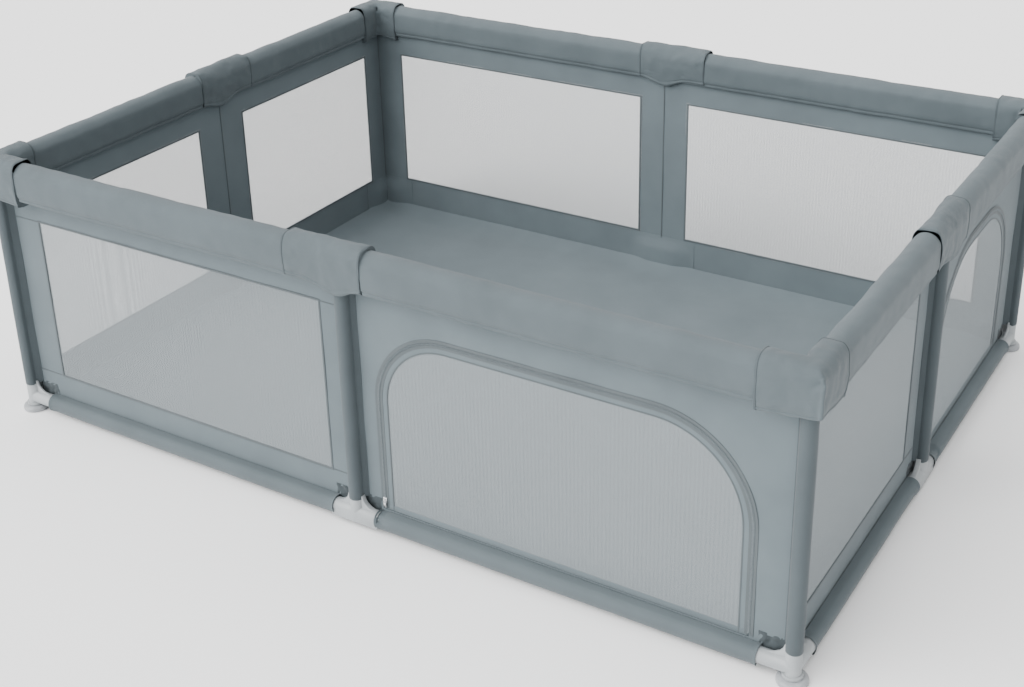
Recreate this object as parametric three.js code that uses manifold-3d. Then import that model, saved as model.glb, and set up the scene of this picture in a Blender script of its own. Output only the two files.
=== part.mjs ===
// Rectangular baby playpen: a knock-down steel tube frame in moulded connectors, a sewn cover of four
// walls and a floor, padded top rails, two zipped door flaps, and a suction cup under each corner.
// Millimetres, +Z up. Origin: on the ground, at the middle of the rectangle of posts.
// +X runs to the right along the long front side, -Y points out through the front.

import * as THREE from 'three';
import { mergeVertices } from 'three/addons/utils/BufferGeometryUtils.js';
import Module from 'manifold-3d';

// ---------------------------------------------------------------- driving dimensions
const POST_SPAN_X = 1944; // corner post axis to corner post axis along the long sides
const POST_SPAN_Y = 1436; // the same along the short sides
const RAIL_AXIS_Z = 628; // height of the top tubes' axis
const BASE_AXIS_Z = 32; // height of the bottom tubes' axis

const TUBE_R = 12.5; // 25 mm steel tube
const TUBE_WALL = 0.6;
const TUBE_SIDES = 16;

const SOCKET_GAP = 0.5; // radial play of a tube in its socket
const SOCKET_WALL = 2.6;
const ARM_CORE = 11; // solid core between a post's bore and the end of an arm's bore
const FOOT_CORE = 3; // solid core between an arm's bore and the post's bore in a foot
const TOP_CORE = 7; // and in a top connector
const END_GAP = 0.3; // tube end to the bottom of its socket

const FOOT_ARM = 70; // corner foot, axis to the end of each arm
const FOOT_TEE_ARM = 58; // middle foot, axis to the end of each arm
const FOOT_TOP_Z = 68; // rim of the post socket
const FOOT_WEB_TOP_Z = 75; // top of the ears that the webs make beside the rim
const FOOT_WEB = 4; // web thickness of a corner foot
const FOOT_TEE_WEB = 10; // and of a middle foot
const FOOT_FLANGE_RISE = 1.4; // flange on the end of an arm, above the arm
const FOOT_FLANGE = 4;
const FOOT_BOSS_RISE = 4.4; // round base over the suction cup, beyond the socket
const FOOT_BOSS = 6;

const TOP_ARM = 60; // top connectors, axis to the end of each arm
const TOP_LEG = 44; // and down to the end of the leg
const TOP_WEB = 4;
const TOP_WEB_REACH = 34;

const CUP_R = 33; // suction cup
const CUP_RIM = 5; // width of the flat sealing ring
const CUP_THICK = 12.4;
const CUP_HOLLOW = 5;
const CUP_STUD_R = 7;
const CUP_STUD = 11; // stud height above the cup
const CUP_GAP = 0.3;

const PAD_THICK = 9.7; // foam and cloth of a padded rail
const PAD_CHANNEL_GAP = 0.7; // rail channel to the sockets inside it
const PAD_DROP = 66; // from the tube axis to the rail's lower hem
const PAD_ARC_STEPS = 6;
const MITRE_GAP = 0.6; // each rail end to the mitre plane

const WALL_THICK = 2; // cloth wall with its mesh windows
const WALL_TUBE_GAP = 0.5; // post to wall
const WALL_LOW_Z = 10; // lower hem
const WALL_TOP_GAP = 6; // wall's upper edge, tucked in the rail, below the legs of the top connectors
const WALL_JOIN_GAP = 0.5; // wall to wall at the corners, and wall to floor
const CUTOUT_GAP = 4; // cloth cut away past the end of a foot's arm
const CUTOUT_TOP_GAP = 3; // and above the rim of its socket

const FLOOR_THICK = 2;
const FLOOR_CUP_GAP = 0.6; // floor sheet above the suction cups

const DOOR_TUBE_GAP = 8.5; // bottom tube up to the hinge fold of a door flap
const DOOR_HEADER = 84; // cloth between a flap and the rail's hem
const DOOR_ZIP_GAP = 1.5; // slit that the zip closes
const DOOR_HINGE_GAP = 2.5; // slit under the fold
// Cloth from the cut-outs round the middle and corner feet to a flap, and the radii of its upper corners.
const FRONT_DOOR = { middleStrip: 4, cornerStrip: 20, middleRadius: 165, cornerRadius: 200 };
const RIGHT_DOOR = { middleStrip: 24, cornerStrip: 34, middleRadius: 200, cornerRadius: 200 };
const DOOR_ARC_STEPS = 6;

const SLIDER_WIDTH = 9;
const SLIDER_LENGTH = 13;
const SLIDER_THICK = 2.4;
const SLIDER_FACE_GAP = 0.3;
const CROWN_WIDTH = 2.4; // arch on the slider that holds the pull
const CROWN_LEG = 1.4;
const CROWN_SPAN = 9;
const CROWN_TUNNEL = 2.2;
const CROWN_BAR = 0.9;
const PULL_BAR_R = 0.8;
const PULL_WIDTH = 7;
const PULL_EYE = 5.6; // length of the eye round the arch
const PULL_ARM = 1.5;
const PULL_LENGTH = 17;
const PULL_THICK = 1.3;
const PULL_FOLD_GAP = 3.5; // tip of the hanging pull above the door's fold, so that it clears the wall

// ---------------------------------------------------------------- sizes that follow
const halfX = POST_SPAN_X / 2;
const halfY = POST_SPAN_Y / 2;
const socketBore = TUBE_R + SOCKET_GAP;
const socketR = socketBore + SOCKET_WALL;
const armCore = socketBore + ARM_CORE; // post axis to the floor of an arm's socket
const flangeR = socketR + FOOT_FLANGE_RISE;
const bossR = socketR + FOOT_BOSS_RISE;
const footLowZ = CUP_THICK + CUP_GAP;
const tubeInset = armCore + END_GAP; // tube end to the post axis
const footCoreZ = BASE_AXIS_Z + socketBore + FOOT_CORE; // floor of the post's socket
const topCoreZ = RAIL_AXIS_Z - socketBore - TOP_CORE; // ceiling of the post's socket
const postLowZ = footCoreZ + END_GAP;
const postTopZ = topCoreZ - END_GAP;
const padChannelR = socketR + PAD_CHANNEL_GAP;
const padR = padChannelR + PAD_THICK;
const padLowZ = RAIL_AXIS_Z - PAD_DROP;
const wallOuter = TUBE_R + WALL_TUBE_GAP; // post axis to the wall's outer face
const wallInner = wallOuter + WALL_THICK;
const wallMid = wallOuter + WALL_THICK / 2;
const wallTopZ = RAIL_AXIS_Z - TOP_LEG - WALL_TOP_GAP;
const cutoutTopZ = FOOT_TOP_Z + CUTOUT_TOP_GAP;
const middleCut = FOOT_TEE_ARM + CUTOUT_GAP; // post axis to the side of its foot's cut-out
const cornerCut = FOOT_ARM + CUTOUT_GAP;
const floorLowZ = CUP_THICK + FLOOR_CUP_GAP;
const floorInset = Math.max(wallInner, socketR) + WALL_JOIN_GAP; // clear of the walls and the middle feet
const doorBaseZ = BASE_AXIS_Z + TUBE_R + DOOR_TUBE_GAP;
const doorTopZ = padLowZ - DOOR_HEADER;

// ---------------------------------------------------------------- finishes
function finish(color, roughness, metalness) {
  return new THREE.MeshStandardMaterial({ color, roughness, metalness });
}

const finishes = {
  tube: finish('#c9cccd', 0.4, 0.6),
  connector: finish('#c8cccf', 0.5, 0),
  cup: finish('#d3d5d8', 0.35, 0),
  cloth: finish('#8b979c', 0.85, 0),
  pad: finish('#869297', 0.85, 0),
  net: finish('#a3abaf', 0.9, 0),
  zip: finish('#b9bdc0', 0.3, 0.9),
};

// ---------------------------------------------------------------- solids
const wasm = await Module();
wasm.setup();

// A closed geometry as a solid that can be joined and cut.
function solid(geometry) {
  const bare = geometry.clone();
  bare.deleteAttribute('normal');
  bare.deleteAttribute('uv');
  const welded = mergeVertices(bare, 1e-4);
  const vertProperties = new Float32Array(welded.attributes.position.array);
  const triVerts = new Uint32Array(welded.index.array);
  return new wasm.Manifold(new wasm.Mesh({ numProp: 3, vertProperties, triVerts }));
}

function fromSolid(body) {
  const mesh = body.getMesh();
  const geometry = new THREE.BufferGeometry();
  geometry.setAttribute('position', new THREE.BufferAttribute(new Float32Array(mesh.vertProperties), 3));
  geometry.setIndex(new THREE.BufferAttribute(new Uint32Array(mesh.triVerts), 1));
  geometry.computeVertexNormals();
  return geometry;
}

function joined(geometries) {
  return geometries.map(solid).reduce((whole, piece) => whole.add(piece));
}

function cut(body, geometries) {
  return geometries.map(solid).reduce((whole, piece) => whole.subtract(piece), body);
}

function block(low, high) {
  const size = high.map((value, i) => value - low[i]);
  const middle = high.map((value, i) => (value + low[i]) / 2);
  return new THREE.BoxGeometry(...size).translate(...middle);
}

// Round bars between two values on one axis, centred on (a, b) of the other two axes.
function barX(r, from, to, y, z, sides = TUBE_SIDES) {
  return new THREE.CylinderGeometry(r, r, to - from, sides).rotateZ(Math.PI / 2).translate((from + to) / 2, y, z);
}

function barY(r, from, to, x, z, sides = TUBE_SIDES) {
  return new THREE.CylinderGeometry(r, r, to - from, sides).translate(x, (from + to) / 2, z);
}

function barZ(r, from, to, sides = TUBE_SIDES) {
  return new THREE.CylinderGeometry(r, r, to - from, sides).rotateX(Math.PI / 2).translate(0, 0, (from + to) / 2);
}

// A flat outline in the X-Z plane, given thickness along Y about y = 0.
function plateXZ(shape, thickness, curveSteps) {
  const geometry = new THREE.ExtrudeGeometry(shape, {
    depth: thickness,
    bevelEnabled: false,
    curveSegments: curveSteps,
  });
  return geometry.rotateX(Math.PI / 2).translate(0, thickness / 2, 0);
}

// ---------------------------------------------------------------- tubes
// Hollow tube along X between two places.
function tubeAlongX(from, to) {
  const ring = new THREE.Shape().absarc(0, 0, TUBE_R, 0, 2 * Math.PI);
  ring.holes.push(new THREE.Path().absarc(0, 0, TUBE_R - TUBE_WALL, 0, 2 * Math.PI, true));
  const geometry = new THREE.ExtrudeGeometry(ring, {
    depth: to - from,
    bevelEnabled: false,
    curveSegments: TUBE_SIDES / 2,
  });
  return geometry.rotateY(Math.PI / 2).translate(from, 0, 0);
}

function post() {
  return tubeAlongX(postLowZ, postTopZ).rotateY(-Math.PI / 2);
}

// ---------------------------------------------------------------- feet
// Upright web from the end of an arm along +X to an ear beside the socket's rim, with a hollow edge.
function footWeb(reach, thickness) {
  const edge = BASE_AXIS_Z + socketR - 2;
  const shape = new THREE.Shape();
  shape.moveTo(0, BASE_AXIS_Z);
  shape.lineTo(reach, BASE_AXIS_Z);
  shape.lineTo(reach, edge);
  shape.quadraticCurveTo(socketR + 6, edge + 3, socketR + 2, FOOT_WEB_TOP_Z);
  shape.lineTo(socketR - 2, FOOT_WEB_TOP_Z);
  shape.lineTo(socketR - 2, FOOT_TOP_Z - 6);
  shape.lineTo(0, FOOT_TOP_Z - 6);
  return plateXZ(shape, thickness, 5);
}

// Corner foot: post socket, arms along -X and +Y, round base with a hole for the cup's stud.
function cornerFoot() {
  const reach = FOOT_ARM - FOOT_FLANGE;
  const body = joined([
    barZ(socketR, footLowZ, FOOT_TOP_Z),
    barZ(bossR, footLowZ, footLowZ + FOOT_BOSS),
    barX(socketR, -FOOT_ARM, 0, 0, BASE_AXIS_Z),
    barY(socketR, 0, FOOT_ARM, 0, BASE_AXIS_Z),
    barX(flangeR, -FOOT_ARM, -reach, 0, BASE_AXIS_Z),
    barY(flangeR, reach, FOOT_ARM, 0, BASE_AXIS_Z),
    footWeb(reach, FOOT_WEB).rotateZ(Math.PI),
    footWeb(reach, FOOT_WEB).rotateZ(Math.PI / 2),
  ]);
  const bores = [
    barZ(socketBore, footCoreZ, FOOT_WEB_TOP_Z + 1),
    barX(socketBore, -FOOT_ARM - 1, -armCore, 0, BASE_AXIS_Z),
    barY(socketBore, armCore, FOOT_ARM + 1, 0, BASE_AXIS_Z),
    barZ(CUP_STUD_R + CUP_GAP, footLowZ - 1, CUP_THICK + CUP_STUD + CUP_GAP),
  ];
  return fromSolid(cut(body, bores));
}

// Middle foot: post socket on a straight bar with a flat base.
function middleFoot() {
  const reach = FOOT_TEE_ARM - FOOT_FLANGE / 2;
  const body = joined([
    barZ(socketR, footLowZ, FOOT_TOP_Z),
    barX(socketR, -FOOT_TEE_ARM, FOOT_TEE_ARM, 0, BASE_AXIS_Z),
    block([-FOOT_TEE_ARM, -socketR + 1, footLowZ], [FOOT_TEE_ARM, socketR - 1, BASE_AXIS_Z]),
    footWeb(reach, FOOT_TEE_WEB),
    footWeb(reach, FOOT_TEE_WEB).rotateZ(Math.PI),
  ]);
  const bores = [
    barZ(socketBore, footCoreZ, FOOT_WEB_TOP_Z + 1),
    barX(socketBore, -FOOT_TEE_ARM - 1, -armCore, 0, BASE_AXIS_Z),
    barX(socketBore, armCore, FOOT_TEE_ARM + 1, 0, BASE_AXIS_Z),
  ];
  return fromSolid(cut(body, bores));
}

// Suction cup: a thick disc, hollow below inside its flat sealing ring, with a stud on top.
function suctionCup() {
  const ring = CUP_R - CUP_RIM;
  const profile = [
    [0, CUP_HOLLOW],
    [ring * 0.6, CUP_HOLLOW * 0.75],
    [ring, 0],
    [CUP_R, 0],
    [CUP_R, CUP_THICK * 0.5],
    [CUP_R - 4, CUP_THICK],
    [CUP_STUD_R, CUP_THICK],
    [CUP_STUD_R, CUP_THICK + CUP_STUD],
    [0, CUP_THICK + CUP_STUD],
  ].map(([r, z]) => new THREE.Vector2(r, z));
  return new THREE.LatheGeometry(profile, 20).rotateX(Math.PI / 2);
}

// ---------------------------------------------------------------- top connectors
// Web in the angle between the leg and an arm along +X.
function topWeb() {
  const shape = new THREE.Shape();
  shape.moveTo(0, RAIL_AXIS_Z);
  shape.lineTo(0, RAIL_AXIS_Z - TOP_WEB_REACH);
  shape.lineTo(socketR, RAIL_AXIS_Z - TOP_WEB_REACH);
  shape.quadraticCurveTo(socketR + 3, RAIL_AXIS_Z - socketR - 3, TOP_WEB_REACH + 8, RAIL_AXIS_Z - socketR + 1);
  shape.lineTo(TOP_WEB_REACH + 8, RAIL_AXIS_Z);
  return plateXZ(shape, TOP_WEB, 4);
}

// arms lists the turns about Z, from +X, of the connector's arms.
function topConnector(arms) {
  const turned = (make) => arms.map((turn) => make().rotateZ(turn));
  const body = joined([
    barZ(socketR, RAIL_AXIS_Z - TOP_LEG, RAIL_AXIS_Z),
    new THREE.SphereGeometry(socketR, TUBE_SIDES, TUBE_SIDES / 2).rotateX(Math.PI / 2).translate(0, 0, RAIL_AXIS_Z),
    ...turned(() => barX(socketR, 0, TOP_ARM, 0, RAIL_AXIS_Z)),
    ...turned(topWeb),
  ]);
  const bores = [
    barZ(socketBore, RAIL_AXIS_Z - TOP_LEG - 1, topCoreZ),
    ...turned(() => barX(socketBore, armCore, TOP_ARM + 1, 0, RAIL_AXIS_Z)),
  ];
  return fromSolid(cut(body, bores));
}

// ---------------------------------------------------------------- padded rails
// Foam and its cloth sleeve: an upside-down U over the top tubes, mitred at both ends.
function railPad(half) {
  const shape = new THREE.Shape();
  shape.moveTo(-padR, padLowZ);
  shape.lineTo(-padChannelR, padLowZ);
  shape.lineTo(-padChannelR, RAIL_AXIS_Z);
  shape.absarc(0, RAIL_AXIS_Z, padChannelR, Math.PI, 0, true);
  shape.lineTo(padChannelR, padLowZ);
  shape.lineTo(padR, padLowZ);
  shape.lineTo(padR, RAIL_AXIS_Z);
  shape.absarc(0, RAIL_AXIS_Z, padR, 0, Math.PI, false);
  const length = 2 * half;
  const settings = { depth: length, bevelEnabled: false, curveSegments: PAD_ARC_STEPS };
  const geometry = new THREE.ExtrudeGeometry(shape, settings);
  // the section's x becomes Y, its y becomes Z, and its depth runs along X
  geometry.rotateX(Math.PI / 2).rotateZ(Math.PI / 2).translate(-half, 0, 0);
  const place = geometry.attributes.position;
  for (let i = 0; i < place.count; i += 1) {
    const end = Math.sign(place.getX(i));
    const mitred = half - place.getY(i) - MITRE_GAP;
    place.setX(i, end * mitred);
  }
  return geometry;
}

// ---------------------------------------------------------------- walls, floor and doors
// Outline of a door flap in the X-Z plane, drawn larger by a margin for the slit in the wall.
function doorOutline(half, door, grow, growBelow) {
  const left = middleCut + door.middleStrip - grow;
  const right = half - cornerCut - door.cornerStrip + grow;
  const low = doorBaseZ - growBelow;
  const top = doorTopZ + grow;
  const leftR = door.middleRadius + grow;
  const rightR = door.cornerRadius + grow;
  const outline = new THREE.Shape();
  outline.moveTo(left, low);
  outline.lineTo(right, low);
  outline.absarc(right - rightR, top - rightR, rightR, 0, Math.PI / 2, false);
  outline.absarc(left + leftR, top - leftR, leftR, Math.PI / 2, Math.PI, false);
  outline.closePath();
  return outline;
}

function wall(half, door, endInset) {
  const end = half - endInset;
  const panel = block([-end, wallOuter, WALL_LOW_Z], [end, wallInner, wallTopZ]);
  const cuts = [];
  const through = [wallOuter - 1, wallInner + 1];
  const cornerEdge = half - cornerCut;
  cuts.push(block([-half, through[0], WALL_LOW_Z - 1], [-cornerEdge, through[1], cutoutTopZ]));
  cuts.push(block([cornerEdge, through[0], WALL_LOW_Z - 1], [half, through[1], cutoutTopZ]));
  cuts.push(block([-middleCut, through[0], WALL_LOW_Z - 1], [middleCut, through[1], cutoutTopZ]));
  if (door) {
    const slit = doorOutline(half, door, DOOR_ZIP_GAP, DOOR_HINGE_GAP);
    cuts.push(plateXZ(slit, WALL_THICK + 2, DOOR_ARC_STEPS).translate(0, wallMid, 0));
  }
  return fromSolid(cut(solid(panel), cuts));
}

function doorFlap(half, door) {
  return plateXZ(doorOutline(half, door, 0, 0), WALL_THICK, DOOR_ARC_STEPS).translate(0, wallMid, 0);
}

function floorSheet() {
  const x = halfX - floorInset;
  const y = halfY - floorInset;
  return block([-x, -y, floorLowZ], [x, y, floorLowZ + FLOOR_THICK]);
}

// ---------------------------------------------------------------- zip sliders
// Both pieces are drawn about the pull's bar, with -Y outwards and the pull hanging down.
function zipSlider() {
  const face = CROWN_TUNNEL / 2; // slider's face, inwards of the pull's bar
  const wide = SLIDER_WIDTH / 2;
  const long = SLIDER_LENGTH / 2;
  const crown = CROWN_WIDTH / 2;
  const legEnd = CROWN_SPAN / 2;
  const legIn = legEnd - CROWN_LEG;
  const out = -CROWN_TUNNEL / 2;
  return fromSolid(
    joined([
      block([-wide, face, -long], [wide, face + SLIDER_THICK, long]),
      block([-crown, out - CROWN_BAR, -legEnd], [crown, face + 1, -legIn]),
      block([-crown, out - CROWN_BAR, legIn], [crown, face + 1, legEnd]),
      block([-crown, out - CROWN_BAR, -legEnd], [crown, out, legEnd]),
    ]),
  );
}

function zipPull() {
  const half = PULL_WIDTH / 2;
  const thick = PULL_THICK / 2;
  return fromSolid(
    joined([
      barX(PULL_BAR_R, -half, half, 0, 0, 8),
      block([-half, -thick, -PULL_EYE - 1], [-half + PULL_ARM, thick, 0]),
      block([half - PULL_ARM, -thick, -PULL_EYE - 1], [half, thick, 0]),
      block([-half, -thick, -PULL_LENGTH], [half, thick, -PULL_EYE]),
    ]),
  );
}

// ---------------------------------------------------------------- assembly
const playpen = new THREE.Group();

function add(parent, name, geometry, material, place = [0, 0, 0]) {
  const mesh = new THREE.Mesh(geometry, material.clone());
  mesh.name = name;
  mesh.position.set(...place);
  parent.add(mesh);
}

// Each side is drawn as if it were the front: +X to its right seen from outside, -Y outwards.
const sides = [
  { name: 'front', half: halfX, turn: 0, bays: ['left', 'right'], corner: 'front_right', door: FRONT_DOOR },
  { name: 'right', half: halfY, turn: 1, bays: ['front', 'back'], corner: 'back_right', door: RIGHT_DOOR },
  { name: 'back', half: halfX, turn: 2, bays: ['right', 'left'], corner: 'back_left', door: null },
  { name: 'left', half: halfY, turn: 3, bays: ['back', 'front'], corner: 'front_left', door: null },
];

for (const side of sides) {
  const group = new THREE.Group();
  const depth = side.turn % 2 === 0 ? halfY : halfX;
  const angle = (side.turn * Math.PI) / 2;
  group.rotation.z = angle;
  group.position.set(depth * Math.sin(angle), -depth * Math.cos(angle), 0);
  playpen.add(group);

  // posts, connectors and cups
  const corner = [side.half, 0, 0];
  add(group, `post_${side.corner}`, post(), finishes.tube, corner);
  add(group, `post_${side.name}_middle`, post(), finishes.tube);
  add(group, `corner_foot_${side.corner}`, cornerFoot(), finishes.connector, corner);
  add(group, `middle_foot_${side.name}`, middleFoot(), finishes.connector);
  add(group, `suction_cup_${side.corner}`, suctionCup(), finishes.cup, corner);
  add(group, `top_corner_${side.corner}`, topConnector([Math.PI, Math.PI / 2]), finishes.connector, corner);
  add(group, `top_tee_${side.name}`, topConnector([Math.PI, 0]), finishes.connector);

  // tubes: one for each bay, at the bottom and at the top
  const near = tubeInset;
  const far = side.half - tubeInset;
  const [leftBay, rightBay] = side.bays;
  for (const [level, z] of [['bottom', BASE_AXIS_Z], ['top', RAIL_AXIS_Z]]) {
    add(group, `${level}_tube_${side.name}_${leftBay}`, tubeAlongX(-far, -near), finishes.tube, [0, 0, z]);
    add(group, `${level}_tube_${side.name}_${rightBay}`, tubeAlongX(near, far), finishes.tube, [0, 0, z]);
  }

  // cloth: the short walls run to the corner, and the long ones stop against them
  const endInset = side.turn % 2 === 0 ? wallInner + WALL_JOIN_GAP : wallOuter;
  add(group, `rail_pad_${side.name}`, railPad(side.half), finishes.pad);
  add(group, `wall_${side.name}`, wall(side.half, side.door, endInset), finishes.cloth);

  if (side.door) {
    const zipX = middleCut + side.door.middleStrip - DOOR_ZIP_GAP / 2;
    const zipY = wallOuter - SLIDER_FACE_GAP - SLIDER_THICK - CROWN_TUNNEL / 2;
    const zipZ = doorBaseZ + PULL_FOLD_GAP + PULL_LENGTH;
    add(group, `door_flap_${side.name}`, doorFlap(side.half, side.door), finishes.net);
    add(group, `zip_slider_${side.name}`, zipSlider(), finishes.zip, [zipX, zipY, zipZ]);
    add(group, `zip_pull_${side.name}`, zipPull(), finishes.zip, [zipX, zipY, zipZ]);
  }
}

add(playpen, 'floor_sheet', floorSheet(), finishes.cloth);

export default playpen;
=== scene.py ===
import math

import bpy
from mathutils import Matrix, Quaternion, Vector


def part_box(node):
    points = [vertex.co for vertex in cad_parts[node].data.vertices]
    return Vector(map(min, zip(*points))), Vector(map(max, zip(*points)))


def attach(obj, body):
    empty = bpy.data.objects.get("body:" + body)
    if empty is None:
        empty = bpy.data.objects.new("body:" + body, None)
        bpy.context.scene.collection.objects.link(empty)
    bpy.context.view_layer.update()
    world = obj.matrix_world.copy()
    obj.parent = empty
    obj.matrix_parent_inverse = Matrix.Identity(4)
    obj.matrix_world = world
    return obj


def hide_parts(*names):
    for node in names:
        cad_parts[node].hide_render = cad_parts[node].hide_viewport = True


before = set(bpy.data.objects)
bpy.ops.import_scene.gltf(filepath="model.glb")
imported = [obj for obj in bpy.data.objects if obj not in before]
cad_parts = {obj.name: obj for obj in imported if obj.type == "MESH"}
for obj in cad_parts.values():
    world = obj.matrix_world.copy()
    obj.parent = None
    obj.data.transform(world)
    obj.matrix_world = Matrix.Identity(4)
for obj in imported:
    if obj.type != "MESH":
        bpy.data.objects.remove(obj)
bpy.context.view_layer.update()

# ---- Cloth walls
# Four walls of tight plain-woven polyester, each one sheet with its mesh windows, its door opening and the
# cut-outs round the feet cut away, sewn to the post sleeves and tucked into the rail above.
corner_post = [sum(p) / 2 for p in zip(*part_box("post_front_right"))]
HALF_X, HALF_Y = corner_post[0], -corner_post[1]
TUBE_Z = sum(p.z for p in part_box("bottom_tube_front_left")) / 2
WALL_LOW, WALL_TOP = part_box("wall_back")[0].z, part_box("wall_back")[1].z
WALL_IN = 0.0140  # post axis to the middle of the cloth
WALL_END = 0.003  # corner axis to the end of the cloth, inside the post sleeve
CLOTH = 0.0011
WINDOW_LOW, WINDOW_TOP = 0.106, 0.503
LONG_BAY, SHORT_BAY = (0.072, 0.873), (0.085, 0.633)  # from the middle post to a window's two edges
CORNER_CUT, MIDDLE_CUT, CUT_TOP = 0.074, 0.062, 0.069
CUT_STEP = 0.046  # up to this height a cut-out has its full width
BAND_OVER = 0.008  # the tube sleeves reach this far over the ends of the feet's arms
CUT_DEEP = 0.02  # how far the cutting shapes reach to each side of the cloth
FLAP_LOW, FLAP_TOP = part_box("door_flap_front")[0].z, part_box("door_flap_front")[1].z
ZIP_GAP, FOLD_GAP = 0.0015, 0.0025
NEAR = 1e-5  # two points this close are the same


def door_span(side):
    """Left and right edge of a door flap, seen from outside, from the middle post's axis."""
    low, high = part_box("door_flap_" + side)
    return (low.x, high.x) if side == "front" else (low.y, high.y)


# Every side is drawn as if it were the front and then turned. Its radii are those of the door's upper corners,
# its corner is the post at its right-hand end, and its rails are its two top tubes, from left to right.
SIDES = [
    {"name": "front", "turn": 0, "half": HALF_X, "depth": HALF_Y, "windows": "left", "radii": (0.165, 0.200),
     "corner": "front_right", "rails": ("left", "right")},
    {"name": "right", "turn": 1, "half": HALF_Y, "depth": HALF_X, "windows": "left", "radii": (0.200, 0.200),
     "corner": "back_right", "rails": ("front", "back")},
    {"name": "back", "turn": 2, "half": HALF_X, "depth": HALF_Y, "windows": "both", "radii": None,
     "corner": "back_left", "rails": ("right", "left")},
    {"name": "left", "turn": 3, "half": HALF_Y, "depth": HALF_X, "windows": "both", "radii": None,
     "corner": "front_left", "rails": ("back", "front")},
]


def only(piece):
    """Selects this piece alone and makes it active."""
    bpy.ops.object.select_all(action="DESELECT")
    piece.select_set(True)
    bpy.context.view_layer.objects.active = piece


def settle(piece):
    """Puts the piece's place, turn and size into its mesh."""
    only(piece)
    bpy.ops.object.transform_apply(location=True, rotation=True, scale=True)
    return piece


def block(name, low, high):
    """A box between two corners, to be shaped further."""
    bpy.ops.object.select_all(action="DESELECT")
    middle = [(a + b) / 2 for a, b in zip(low, high)]
    span = [b - a for a, b in zip(low, high)]
    bpy.ops.mesh.primitive_cube_add(size=1, location=middle, scale=span)
    piece = bpy.context.object
    piece.name = name
    return settle(piece)


def cut_cloth(name, size, middle, step, upright=True):
    """A flat sheet with an even grid, standing in the front's plane or lying on the ground."""
    bpy.ops.object.select_all(action="DESELECT")
    bpy.ops.mesh.primitive_grid_add(
        x_subdivisions=round(size[0] / step), y_subdivisions=round(size[1] / step), size=1, location=middle,
        rotation=(math.pi / 2 if upright else 0, 0, 0))
    piece = bpy.context.object
    piece.name = name
    piece.scale = (size[0], size[1], 1)
    return settle(piece)


def pick(piece, kind, test=lambda p: True):
    """Opens the piece in edit mode with only the points, edges or faces selected whose points all pass."""
    only(piece)
    bpy.ops.object.mode_set(mode="EDIT")
    bpy.ops.mesh.select_mode(type=kind)
    bpy.ops.mesh.select_all(action="DESELECT")
    bpy.ops.object.mode_set(mode="OBJECT")
    mesh = piece.data
    if kind == "VERT":
        for point in mesh.vertices:
            point.select = test(point.co)
    else:
        for part in mesh.edges if kind == "EDGE" else mesh.polygons:
            part.select = all(test(mesh.vertices[i].co) for i in part.vertices)
    bpy.ops.object.mode_set(mode="EDIT")


def done():
    """Leaves edit mode."""
    bpy.ops.object.mode_set(mode="OBJECT")


def modify(piece, kind, **settings):
    """Adds a modifier with these settings and applies it."""
    only(piece)
    modifier = piece.modifiers.new(kind.title(), kind)
    for key, value in settings.items():
        setattr(modifier, key, value)
    bpy.ops.object.modifier_apply(modifier=modifier.name)


def cut_away(piece, *tools):
    """Takes the tools' shapes out of the piece and clears the tools away."""
    for tool in tools:
        modify(piece, "BOOLEAN", operation="DIFFERENCE", object=tool, solver="EXACT")
        bpy.data.objects.remove(tool)


def ripple(piece, size, strength):
    """Soft uneven waves, as in cloth that is not quite tight."""
    waves = bpy.data.textures.new(piece.name + "_waves", "CLOUDS")
    waves.noise_scale = size
    waves.noise_depth = 1
    modify(piece, "DISPLACE", texture_coords="LOCAL", texture=waves, strength=strength, mid_level=0.5)


def turned(piece, side):
    """Turns a piece, drawn on the front, onto its own side of the pen."""
    piece.rotation_euler.z = side["turn"] * math.pi / 2
    return settle(piece)


def arch(name, left, right, low, top, radii, front, back):
    """A plate across the wall with two rounded upper corners."""
    piece = block(name, (left, front, low), (right, back, top))
    for edge, radius in zip((left, right), radii):
        pick(piece, "EDGE", lambda p: abs(p.x - edge) < NEAR and abs(p.z - top) < NEAR)
        bpy.ops.mesh.bevel(offset=radius, segments=16, affect="EDGES", clamp_overlap=False)
        done()
    return piece


def window_spans(side):
    """Left and right edge of each window in a wall."""
    near, far = LONG_BAY if side["half"] > HALF_Y else SHORT_BAY
    spans = [(-far, -near)]
    return spans + [(near, far)] if side["windows"] == "both" else spans


def nodes_of(name):
    """A new material, with its nodes and links."""
    material = bpy.data.materials.new(name)
    material.use_nodes = True
    return material, material.node_tree.nodes, material.node_tree.links


def node(nodes, kind, **inputs):
    """A shader node with these values on its inputs."""
    made = nodes.new(kind)
    for key, value in inputs.items():
        made.inputs[key].default_value = value
    return made


def math_node(nodes, links, operation, first, second=None, third=None):
    """One sum on numbers or on other nodes' outputs."""
    made = nodes.new("ShaderNodeMath")
    made.operation = operation
    for index, value in enumerate((first, second, third)):
        if value is None:
            continue
        if isinstance(value, (int, float)):
            made.inputs[index].default_value = value
        else:
            links.new(value, made.inputs[index])
    return made.outputs[0]


def wave(nodes, links, source, pitch):
    """A smooth wave of that pitch along a coordinate."""
    return math_node(nodes, links, "SINE", math_node(nodes, links, "MULTIPLY", source, 2 * math.pi / pitch))


def noise(nodes, links, place, scale, detail, roughness=0.5):
    """Uneven grain that stays with the piece."""
    made = node(nodes, "ShaderNodeTexNoise", Scale=scale, Detail=detail, Roughness=roughness)
    links.new(place, made.inputs["Vector"])
    return made.outputs[0]


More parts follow.
